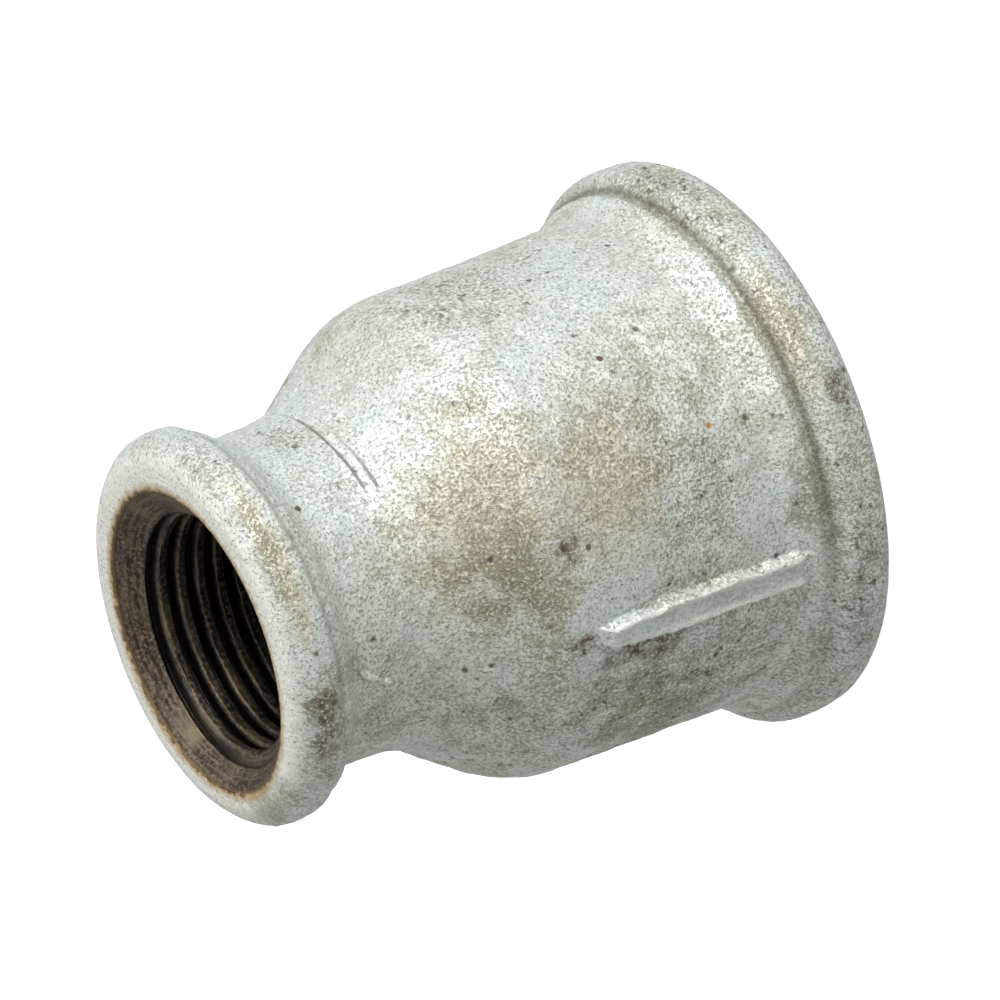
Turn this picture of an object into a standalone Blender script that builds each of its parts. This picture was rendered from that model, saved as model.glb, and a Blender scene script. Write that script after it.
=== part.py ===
"""Reducing socket for threaded pipe, 3/4 inch to 3/8 inch, in hot-dip galvanised malleable iron.

The real thing is one casting, so it is one solid: a round bead at each end, a slim neck, an S-shaped
shoulder, a larger body with two ribs to grip it by, and a passage tapped with a parallel pipe thread
from each end. It stands on its large end, with the axis on +Z and the ribs on -X and +X.
"""

import math

import bmesh
import bpy

MM = 0.001

# Driving dimensions, in metres. Heights run up from the large end's face.
LENGTH = 39.0 * MM
SEGMENTS = 40  # sides of every round surface, and steps in one turn of a thread
ARC_STEP = math.radians(22.5)  # most turn between two points of a rounded corner

NECK_RADIUS = 10.6 * MM
BODY_TOP_RADIUS = 15.4 * MM
BODY_FOOT_RADIUS = 15.7 * MM  # the mould's draft

SMALL_BEAD_RADIUS = 12.45 * MM
SMALL_BEAD_WIDTH = 3.05 * MM
SMALL_BEAD_FLANK = 1.85 * MM
LARGE_BEAD_RADIUS = 17.95 * MM
LARGE_BEAD_WIDTH = 2.7 * MM
LARGE_BEAD_FLANK = 3.1 * MM

SHOULDER_TOP = 28.8 * MM  # where the shoulder's slope would meet the neck
SHOULDER_FOOT = 21.6 * MM  # and where it would meet the body
SHOULDER_TOP_FILLET = 6.2 * MM
SHOULDER_FOOT_ROUND = 7.7 * MM

RIB_WIDTH = 2.2 * MM
RIB_RISE = 0.9 * MM  # above the body
RIB_TOP = 20.2 * MM
RIB_TAPER = 1.6 * MM  # length of the sloping upper end
RIB_ROOT_DEPTH = 1.2 * MM  # how far a rib is sunk into the body, so that the two join
RIB_ROUND = 0.3 * MM

# Parallel pipe threads: the pitch, the diameter across the grooves and the diameter across the crests.
SMALL_THREAD = {
    "pitch": 1.337 * MM,
    "major": 16.662 * MM,
    "minor": 14.950 * MM,
    "length": 10.5 * MM,
    "mouth": 19.4 * MM,  # widest diameter of the countersink
    "countersink": 2.0 * MM,  # depth of the countersink
}
LARGE_THREAD = {
    "pitch": 1.814 * MM,
    "major": 26.441 * MM,
    "minor": 24.117 * MM,
    "length": 15.0 * MM,
    "mouth": 28.5 * MM,
    "countersink": 2.0 * MM,
}
CORE_CLEARANCE = 0.15 * MM  # the cored hole behind a thread is this much wider than its crests, in radius
SMALL_CORE_DEPTH = 11.8 * MM  # from the small face to where the passage starts to widen
LARGE_CORE_DEPTH = 19.5 * MM  # from the large face to where it stops narrowing
CORE_FILLET = 3.0 * MM
GROOVE_OVERCUT = 0.1 * MM  # how far a groove's cutter stands inside the bore
GROOVE_CREST_SHARE = 5 / 12  # half the groove's width at the crests, in pitches
GROOVE_ROOT_SHARE = 1 / 12  # half its width at the bottom


def collection(name):
    made = bpy.data.collections.new(name)
    bpy.context.scene.collection.children.link(made)
    return made


def object_from(name, mesh, home):
    made = bpy.data.objects.new(name, mesh)
    home.objects.link(made)
    return made


def galvanised_iron():
    material = bpy.data.materials.new("galvanised_iron")
    material.use_nodes = True
    shader = material.node_tree.nodes["Principled BSDF"]
    shader.inputs["Base Color"].default_value = (0.56, 0.59, 0.57, 1)
    shader.inputs["Metallic"].default_value = 0.85
    shader.inputs["Roughness"].default_value = 0.45
    return material


def rounded(corners):
    """An outline's points, from its corners: each is (radius, height, rounding), in metres."""
    points = []
    for index, (radius, height, rounding) in enumerate(corners):
        if not rounding:
            points.append((radius, height))
            continue
        before = corners[index - 1]
        after = corners[index + 1]
        to_before = (before[0] - radius, before[1] - height)
        to_after = (after[0] - radius, after[1] - height)
        start = math.atan2(to_before[1], to_before[0])
        inner = (math.atan2(to_after[1], to_after[0]) - start + math.pi) % (2 * math.pi) - math.pi
        middle = start + inner / 2
        reach = rounding / abs(math.sin(inner / 2))
        centre = (radius + reach * math.cos(middle), height + reach * math.sin(middle))
        turn = math.copysign(math.pi - abs(inner), -inner)
        first = middle + math.pi - turn / 2
        steps = max(2, math.ceil(abs(turn) / ARC_STEP))
        for step in range(steps + 1):
            angle = first + turn * step / steps
            points.append((centre[0] + rounding * math.cos(angle), centre[1] + rounding * math.sin(angle)))
    return points


def outside():
    """The outer corners, from the small end's face down to the large end's."""
    neck_end = LENGTH - SMALL_BEAD_WIDTH - SMALL_BEAD_FLANK
    large_crest = LARGE_BEAD_WIDTH
    return [
        (SMALL_THREAD["mouth"] / 2, LENGTH, 0),
        (SMALL_BEAD_RADIUS, LENGTH, 2.15 * MM),
        (SMALL_BEAD_RADIUS, LENGTH - SMALL_BEAD_WIDTH, 1.6 * MM),
        (NECK_RADIUS, neck_end, 2.0 * MM),
        (NECK_RADIUS, SHOULDER_TOP, SHOULDER_TOP_FILLET),
        (BODY_TOP_RADIUS, SHOULDER_FOOT, SHOULDER_FOOT_ROUND),
        (BODY_FOOT_RADIUS, large_crest + LARGE_BEAD_FLANK, 2.5 * MM),
        (LARGE_BEAD_RADIUS, large_crest, 1.5 * MM),
        (LARGE_BEAD_RADIUS, 0, 1.4 * MM),
        (LARGE_THREAD["mouth"] / 2, 0, 0),
    ]


def inside():
    """The passage's corners before the threads are cut, from the large end's face up to the small end's."""
    large_crests = LARGE_THREAD["minor"] / 2
    small_crests = SMALL_THREAD["minor"] / 2
    large_core = large_crests + CORE_CLEARANCE
    small_core = small_crests + CORE_CLEARANCE
    large_thread_end = LARGE_THREAD["length"]
    small_thread_end = LENGTH - SMALL_THREAD["length"]
    return [
        (large_crests, LARGE_THREAD["countersink"], 0),
        (large_crests, large_thread_end, 0),
        (large_core, large_thread_end + CORE_CLEARANCE, 0),
        (large_core, LARGE_CORE_DEPTH, CORE_FILLET),
        (small_core, LENGTH - SMALL_CORE_DEPTH, CORE_FILLET),
        (small_core, small_thread_end - CORE_CLEARANCE, 0),
        (small_crests, small_thread_end, 0),
        (small_crests, LENGTH - SMALL_THREAD["countersink"], 0),
    ]


def loop_mesh(name, points):
    """A closed outline in the XZ plane."""
    shape = bmesh.new()
    corners = [shape.verts.new((radius, 0, height)) for radius, height in points]
    for index, corner in enumerate(corners):
        shape.edges.new((corners[index - 1], corner))
    mesh = bpy.data.meshes.new(name)
    shape.to_mesh(mesh)
    shape.free()
    return mesh


def screw(target, pitch=0.0, turns=1):
    modifier = target.modifiers.new("turned about the axis", "SCREW")
    modifier.axis = "Z"
    modifier.angle = 2 * math.pi
    modifier.screw_offset = pitch
    modifier.iterations = turns
    modifier.steps = SEGMENTS
    modifier.render_steps = SEGMENTS
    modifier.use_merge_vertices = False


def cast_body(home):
    body = object_from("reducer_body", loop_mesh("reducer_body", rounded(outside() + inside())), home)
    screw(body)
    body.data.materials.append(galvanised_iron())
    return body


def as_mesh(source, name):
    """A plain mesh of an object as it stands, and the object removed."""
    bpy.context.view_layer.update()
    graph = bpy.context.evaluated_depsgraph_get()
    mesh = bpy.data.meshes.new_from_object(source.evaluated_get(graph))
    mesh.name = name
    bpy.data.objects.remove(source)
    return mesh


def thread_cutter(name, thread, entry, inward, home):
    """A groove's solid: it winds in from beyond the face at height `entry`, and fades out over its last half turn."""
    pitch = thread["pitch"]
    major = thread["major"] / 2
    minor = thread["minor"] / 2 - GROOVE_OVERCUT
    flank = (GROOVE_CREST_SHARE - GROOVE_ROOT_SHARE) * pitch / (thread["major"] - thread["minor"]) * 2
    wide = GROOVE_CREST_SHARE * pitch + GROOVE_OVERCUT * flank
    narrow = GROOVE_ROOT_SHARE * pitch
    turns = round(thread["length"] / pitch) + 1
    low = entry - pitch / 2 if inward > 0 else entry + pitch / 2 - turns * pitch
    section = [(minor, low - wide), (major, low - narrow), (major, low + narrow), (minor, low + wide)]
    coil = object_from(name + "_coil", loop_mesh(name, section), home)
    screw(coil, pitch, turns)
    mesh = as_mesh(coil, name)
    shape = bmesh.new()
    shape.from_mesh(mesh)
    bmesh.ops.holes_fill(shape, edges=shape.edges, sides=len(section))
    bmesh.ops.recalc_face_normals(shape, faces=shape.faces)
    end = low + turns * pitch if inward > 0 else low
    for vertex in shape.verts:
        angle = math.atan2(vertex.co.y, vertex.co.x) % (2 * math.pi)
        turn = round((vertex.co.z - low - pitch * angle / (2 * math.pi)) / pitch)
        travelled = turn * pitch + pitch * angle / (2 * math.pi)
        left = abs(low + travelled - end)
        fade = max(0.0, 1 - left / (pitch / 2))
        radius = math.hypot(vertex.co.x, vertex.co.y)
        shrink = 1 - fade * (thread["major"] - thread["minor"]) / 2 / radius
        vertex.co.x *= shrink
        vertex.co.y *= shrink
    shape.to_mesh(mesh)
    shape.free()
    cutter = object_from(name, mesh, home)
    cutter.hide_render = True
    cutter.display_type = "WIRE"
    return cutter


def rib(name, side, home):
    """A rib's solid, from its side view: its upper end slopes, and its foot runs into the large bead."""
    top = BODY_TOP_RADIUS + RIB_RISE
    foot = BODY_FOOT_RADIUS + RIB_RISE
    sunk = BODY_TOP_RADIUS - RIB_ROOT_DEPTH
    rib_foot = LARGE_BEAD_WIDTH + 0.4 * LARGE_BEAD_FLANK
    outline = [
        (sunk, rib_foot),
        (foot, rib_foot),
        (top, RIB_TOP - RIB_TAPER),
        (sunk, RIB_TOP),
    ]
    curve = bpy.data.curves.new(name, "CURVE")
    curve.dimensions = "2D"
    curve.fill_mode = "BOTH"
    curve.extrude = RIB_WIDTH / 2 - RIB_ROUND
    curve.bevel_depth = RIB_ROUND
    curve.bevel_resolution = 1
    curve.offset = -RIB_ROUND
    spline = curve.splines.new("POLY")
    spline.points.add(len(outline) - 1)
    for point, (radius, height) in zip(spline.points, outline):
        point.co = (side * radius, height, 0, 1)
    spline.use_cyclic_u = True
    flat = object_from(name + "_outline", curve, home)
    mesh = as_mesh(flat, name)
    shape = bmesh.new()
    shape.from_mesh(mesh)
    bmesh.ops.remove_doubles(shape, verts=shape.verts, dist=0.001 * MM)
    bmesh.ops.recalc_face_normals(shape, faces=shape.faces)
    shape.to_mesh(mesh)
    shape.free()
    solid = object_from(name, mesh, home)
    solid.rotation_euler = (math.pi / 2, 0, 0)
    solid.hide_render = True
    solid.display_type = "WIRE"
    return solid


def boolean(target, other, operation):
    modifier = target.modifiers.new(f"{operation.lower()} {other.name}", "BOOLEAN")
    modifier.operation = operation
    modifier.solver = "EXACT"
    modifier.object = other


def main():
    for old in list(bpy.data.objects):
        bpy.data.objects.remove(old)
    fitting = collection("reducing_socket")
    helpers = collection("reducing_socket_cutters")
    body = cast_body(fitting)
    boolean(body, rib("rib_right", 1, helpers), "UNION")
    boolean(body, rib("rib_left", -1, helpers), "UNION")
    boolean(body, thread_cutter("small_thread_groove", SMALL_THREAD, LENGTH, -1, helpers), "DIFFERENCE")
    boolean(body, thread_cutter("large_thread_groove", LARGE_THREAD, 0.0, 1, helpers), "DIFFERENCE")


main()
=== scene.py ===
"""Reducing socket for threaded pipe, 3/4 inch to 3/8 inch, in hot-dip galvanised malleable iron.

Laid out as an add-on: sizes and colours are properties, each part of the casting has its own operator, and
a panel in the sidebar lists them. The casting stands on its large end with its axis on +Z and its grip ribs
on -X and +X. It is drawn in closed parts that meet inside the wall: the zinc-coated outside with the drops
that set on it, and the bare metal of each tapped end.
"""

import math
from functools import partial

import bpy
import numpy as np
from bpy.props import FloatProperty, FloatVectorProperty, IntProperty, PointerProperty
from mathutils import Matrix, Vector


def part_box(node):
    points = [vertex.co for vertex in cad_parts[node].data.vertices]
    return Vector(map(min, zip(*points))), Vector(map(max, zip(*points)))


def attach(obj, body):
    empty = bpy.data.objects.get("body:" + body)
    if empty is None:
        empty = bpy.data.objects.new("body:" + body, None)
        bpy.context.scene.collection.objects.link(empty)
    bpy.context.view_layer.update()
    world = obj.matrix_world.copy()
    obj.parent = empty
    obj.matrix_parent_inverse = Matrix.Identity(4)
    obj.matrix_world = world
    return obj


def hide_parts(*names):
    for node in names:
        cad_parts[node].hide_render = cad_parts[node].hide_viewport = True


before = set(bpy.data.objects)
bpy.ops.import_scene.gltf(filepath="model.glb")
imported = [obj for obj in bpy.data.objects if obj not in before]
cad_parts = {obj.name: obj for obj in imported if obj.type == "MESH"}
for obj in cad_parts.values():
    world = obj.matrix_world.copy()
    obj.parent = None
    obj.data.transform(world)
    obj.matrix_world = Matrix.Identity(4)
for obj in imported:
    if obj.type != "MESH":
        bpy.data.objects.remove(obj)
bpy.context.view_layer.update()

CASTING_LOW, CASTING_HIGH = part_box("reducer_body")

bl_info = {
    "name": "Galvanised reducing socket",
    "version": (1, 0, 0),
    "blender": (4, 5, 0),
    "location": "3D Viewport > Sidebar > Reducing socket",
    "description": "Adds a galvanised malleable iron reducing socket with tapped ends",
    "category": "Add Mesh",
}

MATH = "ShaderNodeMath"
VECTOR = "ShaderNodeVectorMath"
RANGE = "ShaderNodeMapRange"
SMOOTH = {"interpolation_type": "SMOOTHSTEP"}

MM = 0.001
ARC_STEP = math.radians(4)  # most turn between two points of a rounded corner
MOUTH_DRIFT = (0.23 * MM, -0.35 * MM, 0)  # the small end was tapped this far off the casting's axis
NECK_DRIFT = (-0.05 * MM, 0.08 * MM, 0)  # the mould's halves met this far off it at the neck
BEAD_DRIFT = (0.05 * MM, -0.08 * MM, 0)  # and at the beads
RUN_OUT = 0.7  # turns of thread over which the last groove fades out
RIB_LEAN = (0.34 * MM, 0.64 * MM)  # how far a rib's upper and lower ends stand off the X axis
PIT_CELL = 1.7  # millimetres: one cell may hold one pit
PIT_RADIUS = 0.28
PIT_SHARE = 0.3  # of the cells that hold one


def srgb(code):
    """A linear RGBA colour from an sRGB hex code."""
    channels = [int(code[i : i + 2], 16) / 255 for i in (1, 3, 5)]
    linear = [c / 12.92 if c <= 0.04045 else ((c + 0.055) / 1.055) ** 2.4 for c in channels]
    return (*linear, 1.0)


def per(millimetres):
    """A texture scale that gives a pattern of this size."""
    return 1 / (millimetres * MM)


def length(name, description, millimetres):
    return FloatProperty(
        name=name, description=description, default=millimetres * MM, unit="LENGTH", precision=5
    )


def number(name, description, value, unit="NONE"):
    return FloatProperty(name=name, description=description, default=value, unit=unit)


def colour(name, description, code):
    return FloatVectorProperty(
        name=name, description=description, default=srgb(code), size=4, subtype="COLOR", min=0, max=1
    )


class CastingSizes(bpy.types.PropertyGroup):
    """Outside of the casting. Heights run up from the large end's face."""

    length: length("Length", "From face to face", CASTING_HIGH[2] / MM)
    large_bead: length("Large bead radius", "Over the bead of the large end", CASTING_HIGH[0] / MM)
    small_bead: length("Small bead radius", "Over the bead of the small end", 12.45)
    neck: length("Neck radius", "Between the small bead and the shoulder", 10.6)
    body_top: length("Body radius at the shoulder", "The upper end of the body", 15.45)
    body_foot: length("Body radius at the large bead", "The lower end, with the mould's draft", 15.7)
    shoulder_top: length("Shoulder top", "Height where its slope would meet the neck", 28.8)
    shoulder_foot: length("Shoulder foot", "Height where its slope would meet the body", 21.85)
    small_crease: length("Small crease", "From the small face to the crease beside the bead", 3.05)
    large_crease: length("Large crease", "From the large face to the crease beside the bead", 4.05)
    rib_width: length("Rib width", "Across the foot of a grip rib", 2.3)
    rib_crown: length("Rib crown", "Across the flat top of a grip rib", 1.65)
    rib_rise: length("Rib rise", "From the body to the top of a grip rib", 0.9)
    rib_top: length("Rib top", "Height of a rib's upper end", 20.1)
    rib_foot: length("Rib foot", "Height of a rib's lower end", 5.0)


class ThreadSizes(bpy.types.PropertyGroup):
    """A parallel pipe thread and the countersink in front of it."""

    pitch: length("Pitch", "From one crest to the next", 1.337)
    grooves: length("Groove radius", "To the bottom of the grooves", 8.331)
    crests: length("Crest radius", "To the crests", 7.475)
    depth: length("Thread length", "From the face to the last groove", 10.5)
    mouth: length("Mouth radius", "Widest radius of the countersink", 9.7)
    countersink: length("Countersink depth", "From the face to the first full crest", 1.75)


class ReliefSizes(bpy.types.PropertyGroup):
    """Unevenness that the sand mould and the zinc leave."""

    warp: length("Warp", "How far the casting is out of round", 0.11)
    waves: length("Waves", "Height of the broad unevenness", 0.05)
    grain: length("Grain", "Height of the sand's grain under the zinc", 0.03)
    pits: length("Pits", "Depth of the pits", 0.12)
    pimples: length("Pimples", "Height of the small zinc pimples", 0.07)
    rows: length("Row spacing", "Between mesh rows along the outline", 0.235)
    columns: length("Column spacing", "Between mesh columns at the body's radius", 0.27)
    rib_columns: length("Rib column spacing", "Between mesh columns across a rib", 0.12)
    small_bore_rows: length("Small bore row spacing", "Between mesh rows along the small bore", 0.1)
    large_bore_rows: length("Large bore row spacing", "Between mesh rows along the large bore", 0.14)
    bore_columns: IntProperty(
        name="Bore columns", description="Mesh columns round a bore", default=320, min=32
    )
    smallest_nodule: length("Smallest nodule", "Radius of the smallest bead of zinc", 0.07)
    largest_nodule: length("Largest nodule", "Radius of the largest bead of zinc", 0.2)
    nodules: number("Nodules", "Beads of zinc in a square metre", 24000)
    run_radius: length("Run radius", "Radius of a run of zinc", 0.5)


class FinishColours(bpy.types.PropertyGroup):
    """Colours of the zinc, the dirt and painted shade on it, and the bare iron with its painted shade and
    highlights.
    """

    zinc_light: colour("Zinc, light", "Clean zinc", "#DBDEDA")
    zinc_shade: colour("Zinc, shade", "Weathered zinc", "#AEB0A6")
    # This colour also lightens the top of each rib as painted light.
    zinc_cool: colour("Zinc, cool", "Blue-green cast where the coat is thick", "#CBD5D3")
    speck: colour("Speck", "Tiny dark pores in the coat", "#7D7D6F")
    pit: colour("Pit", "Bottom of a pit", "#4C473D")
    worn: colour("Worn", "Cream patches where the coat has worn", "#D3CBAE")
    worn_shade: colour("Worn, shade", "Between the cream patches", "#989074")
    zinc_bright: colour("Zinc, rubbed", "Fresh zinc on edges and between pores", "#F4F4EE")
    # This colour is dirt and painted shade: it paints the large bead's crease and the greenish patches.
    grime_and_shade: colour("Grime", "Dirt that gathers in the creases", "#6E6C52")
    # This colour is painted shade beside the small bead.
    crease: colour("Crease", "Shadowy dirt beside the small bead", "#7F8B8A")
    rust: colour("Rust", "Rust at the edge of the coat", "#AE8E52")
    scale: colour("Scale", "Dark brown scale where the coat ends on the machined metal", "#4A3A28")
    stain: colour("Stain", "Brown stain", "#65554A")
    iron: colour("Bare iron", "Machined iron under oil", "#6C625A")
    iron_dark: colour("Bare iron, dark", "Oil and dirt on it", "#332B26")
    # This colour paints shade at the bottom of the thread and deeper in the bore.
    groove: colour("Groove", "Oil and chips at the bottom of the thread", "#0D0B08")
    # This colour paints the iron's golden smears and the painted highlights along the thread's crests.
    crest: colour("Crest", "Iron rubbed golden by the tap", "#8F8468")


class StageSettings(bpy.types.PropertyGroup):
    """Camera, light and floor."""

    lens: number("Lens", "Focal length on a 36 mm sensor", 322.1, "CAMERA")
    key_power: number("Key light", "Power of the key light", 2.8, "POWER")
    fill_power: number("Fill light", "Power of the fill light", 0.9, "POWER")
    sky: number("Sky", "Strength of the plain surroundings", 0.52)
    floor_glow: number("Floor glow", "Light from under the floor", 0.75)
    floor_colour: colour("Floor", "Plain pale floor", "#F2F2F0")


GROUPS = {
    "reducer_casting": CastingSizes,
    "reducer_relief": ReliefSizes,
    "reducer_colours": FinishColours,
    "reducer_stage": StageSettings,
    "reducer_small_thread": ThreadSizes,
    "reducer_large_thread": ThreadSizes,
}
LARGE_THREAD = {
    "pitch": 1.814 * MM,
    "grooves": 13.2205 * MM,
    "crests": 12.0585 * MM,
    "depth": 15.0 * MM,
    "mouth": 14.25 * MM,
    "countersink": 2.0 * MM,
}


def add(tree, kind, inputs=(), **settings):
    """A node with its settings, each input linked to a node or a socket, or set to a value."""
    made = tree.nodes.new(kind)
    for name, value in settings.items():
        setattr(made, name, value)
    for socket, value in dict(inputs).items():
        if isinstance(value, bpy.types.Node):
            value = next(output for output in value.outputs if output.enabled)
        if isinstance(value, bpy.types.NodeSocket):
            tree.links.new(value, made.inputs[socket])
        else:
            made.inputs[socket].default_value = value
    return made


# Outlines and turned meshes


def rounded(corners):
    """An outline's points, from its corners: each is (radius, height, rounding), in metres."""
    points = []
    for index, (radius, height, rounding) in enumerate(corners):
        if not rounding:
            points.append((radius, height))
            continue
        before = corners[index - 1]
        after = corners[index + 1]
        to_before = (before[0] - radius, before[1] - height)
        to_after = (after[0] - radius, after[1] - height)
        start = math.atan2(to_before[1], to_before[0])
        inner = (math.atan2(to_after[1], to_after[0]) - start + math.pi) % (2 * math.pi) - math.pi
        middle = start + inner / 2
        reach = rounding / abs(math.sin(inner / 2))
        centre = (radius + reach * math.cos(middle), height + reach * math.sin(middle))
        turn = math.copysign(math.pi - abs(inner), -inner)
        first = middle + math.pi - turn / 2
        steps = max(2, math.ceil(abs(turn) / ARC_STEP))
        for step in range(steps + 1):
            angle = first + turn * step / steps
            points.append((centre[0] + rounding * math.cos(angle), centre[1] + rounding * math.sin(angle)))
    return points


def stepped(points, spacing):
    """Points along an outline, evenly apart by no more than the spacing."""
    line = np.array(points)
    along = np.concatenate([[0], np.cumsum(np.hypot(*np.diff(line, axis=0).T))])
    places = np.linspace(0, along[-1], math.ceil(along[-1] / spacing) + 1)
    return np.stack([np.interp(places, along, line[:, axis]) for axis in (0, 1)], axis=1)


def turned(name, outline, angles):
    """A closed outline turned about the axis: it runs down on its outer side and up on its inner side."""
    rows = len(outline)
    columns = len(angles)
    radius = outline[:, :1]
    places = np.empty((rows, columns, 3))
    places[..., 0] = radius * np.cos(angles)
    places[..., 1] = radius * np.sin(angles)
    places[..., 2] = outline[:, 1:]
    row, column = np.meshgrid(np.arange(rows), np.arange(columns), indexing="ij")
    row_after = (row + 1) % rows
    column_after = (column + 1) % columns
    corners = [(row, column), (row_after, column), (row_after, column_after), (row, column_after)]
    faces = np.stack([(r * columns + c).ravel() for r, c in corners], axis=1)
    mesh = bpy.data.meshes.new(name)
    mesh.from_pydata(places.reshape(-1, 3), [], faces)
    mesh.shade_smooth()
    made = bpy.data.objects.new(name, mesh)
    bpy.context.scene.collection.objects.link(made)
    return made


def vertices(mesh):
    """Where a mesh's vertices are, a row for each."""
    flat = np.empty(len(mesh.vertices) * 3)
    mesh.vertices.foreach_get("co", flat)
    return flat.reshape(-1, 3)


def eased(values, low, high):
    """Smooth steps from 0 at low to 1 at high."""
    share = np.clip((values - low) / (high - low), 0, 1)
    return share * share * (3 - 2 * share)


def drifted(piece, mouth, top):
    """Moves the neck and the two beads off the axis, and the small mouth's edge to where it was tapped."""
    places = vertices(piece.data)
    radius = np.hypot(places[:, 0], places[:, 1])
    height = places[:, 2]
    neck = eased(height, 14 * MM, 24 * MM) * (1 - eased(height, 33 * MM, 36.5 * MM))
    beads = eased(height, 33 * MM, 36.5 * MM) + 1 - eased(height, 3.5 * MM, 6 * MM)
    by_mouth = eased(-radius, -mouth - 1.6 * MM, -mouth - 0.2 * MM)
    by_mouth *= height > top - 1.2 * MM
    places += np.outer(neck, NECK_DRIFT) + np.outer(beads * (1 - by_mouth), BEAD_DRIFT)
    places += np.outer(by_mouth, MOUTH_DRIFT)
    piece.data.vertices.foreach_set("co", places.ravel())


def even_angles(count):
    return np.arange(count) * 2 * math.pi / count


def rib_angles(casting, relief):
    """Column angles, closer together across the two ribs on -X and +X."""
    edge = 0.9 * casting.rib_width / casting.body_foot
    angles = [0.0]
    while angles[-1] < math.pi:
        near_rib = min(angles[-1], math.pi - angles[-1]) < edge
        spacing = relief.rib_columns if near_rib else relief.columns
        angles.append(angles[-1] + spacing / casting.body_foot)
    half = np.array(angles[:-1]) * math.pi / angles[-1]
    return np.concatenate([half, half + math.pi])


# Geometry Nodes


def new_tree(name, sizes):
    """A geometry tree with a geometry input and output, and a named length input for each size."""
    tree = bpy.data.node_groups.new(name, "GeometryNodeTree")
    tree.interface.new_socket("Geometry", in_out="INPUT", socket_type="NodeSocketGeometry")
    for size in sizes:
        made = tree.interface.new_socket(size, in_out="INPUT", socket_type="NodeSocketFloat")
        made.subtype = "DISTANCE"
    tree.interface.new_socket("Finish", in_out="INPUT", socket_type="NodeSocketMaterial")
    tree.interface.new_socket("Geometry", in_out="OUTPUT", socket_type="NodeSocketGeometry")
    return tree


def end_tree(tree, geometry, finish):
    whole = add(tree, "GeometryNodeRealizeInstances", {0: geometry})
    painted = add(tree, "GeometryNodeSetMaterial", {0: whole, "Material": finish})
    add(tree, "NodeGroupOutput", {0: painted})


def apply_tree(piece, tree, values):
    """Runs a geometry tree on a piece, and leaves the result as its plain mesh."""
    modifier = piece.modifiers.new(tree.name, "NODES")
    modifier.node_group = tree
    for item in tree.interface.items_tree:
        if item.in_out == "INPUT" and item.name in values:
            modifier[item.identifier] = values[item.name]
    graph = bpy.context.evaluated_depsgraph_get()
    mesh = bpy.data.meshes.new_from_object(piece.evaluated_get(graph))
    piece.modifiers.remove(modifier)
    piece.data = mesh
    mesh.name = piece.name


def polar(tree, place):
    """A place's angle about the Z axis, its height, and how far out from the axis it is."""
    x, y, height = add(tree, "ShaderNodeSeparateXYZ", {0: place}).outputs
    level = add(tree, VECTOR, {0: place, 1: (1, 1, 0)}, operation="MULTIPLY")
    radius = add(tree, VECTOR, {0: level}, operation="LENGTH").outputs["Value"]
    return add(tree, MATH, {0: y, 1: x}, operation="ARCTAN2"), height, radius


def thread_tree():
    """Cuts a right-hand helical groove into a bore: the wall moves out to the groove where it is deeper."""
    tree = new_tree("tapped thread", ["Pitch", "Crest radius", "Groove radius", "Start", "Run-out", "End"])
    node = partial(add, tree)
    size = node("NodeGroupInput").outputs
    place = node("GeometryNodeInputPosition")
    angle, height, radius = polar(tree, place)
    risen = node(MATH, {0: height, 1: size["Start"]}, operation="SUBTRACT")
    turns = node(MATH, {0: risen, 1: size["Pitch"]}, operation="DIVIDE")
    radians = node(MATH, {0: turns, 1: 2 * math.pi}, operation="MULTIPLY")
    phase = node(MATH, {0: radians, 1: angle}, operation="SUBTRACT")
    wave = node(MATH, {0: phase}, operation="COSINE")
    hollow = node(RANGE, {0: wave, 1: -0.35, 2: 0.9})
    fade = node(RANGE, {0: height, 1: size["End"], 2: size["Run-out"]})
    cut = node(MATH, {0: hollow, 1: fade}, operation="MULTIPLY")
    full = node(MATH, {0: size["Groove radius"], 1: size["Crest radius"]}, operation="SUBTRACT")
    groove = node(MATH, {0: cut, 1: full, 2: size["Crest radius"]}, operation="MULTIPLY_ADD")
    threaded = node(MATH, {0: fade, 1: 0.0}, operation="GREATER_THAN")
    short = node(MATH, {0: groove, 1: radius}, operation="SUBTRACT")
    moved_out = node(MATH, {0: short, 1: 0.0}, operation="MAXIMUM")
    wall = node(MATH, {0: moved_out, 1: threaded, 2: radius}, operation="MULTIPLY_ADD")
    sunk = node(MATH, {0: moved_out, 1: full}, operation="DIVIDE")
    depth = node(MATH, {0: sunk, 1: threaded}, operation="MULTIPLY")
    noted = node(
        "GeometryNodeStoreNamedAttribute", {0: size["Geometry"], "Name": "groove", "Value": depth},
        data_type="FLOAT", domain="POINT",
    )
    stretch = node(MATH, {0: wall, 1: radius}, operation="DIVIDE")
    wider = node("ShaderNodeCombineXYZ", {0: stretch, 1: stretch, 2: 1.0})
    moved = node(VECTOR, {0: place, 1: wider}, operation="MULTIPLY")
    shaped = node("GeometryNodeSetPosition", {0: noted, "Position": moved})
    end_tree(tree, shaped, size["Finish"])
    return tree


def beside_rib(tree, place):
    """How far a point is from the middle of the nearer rib. Each rib leans a little off the X axis."""
    x, y, height = add(tree, "ShaderNodeSeparateXYZ", {0: place}).outputs
    upper, lower = RIB_LEAN
    lean = add(tree, RANGE, {0: height, 1: 20 * MM, 2: 5 * MM, 3: upper, 4: lower})
    side = add(tree, MATH, {0: x}, operation="SIGN")
    towards = add(tree, MATH, {0: side, 1: lean, 2: y}, operation="MULTIPLY_ADD")
    return add(tree, MATH, {0: towards}, operation="ABSOLUTE")


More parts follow.
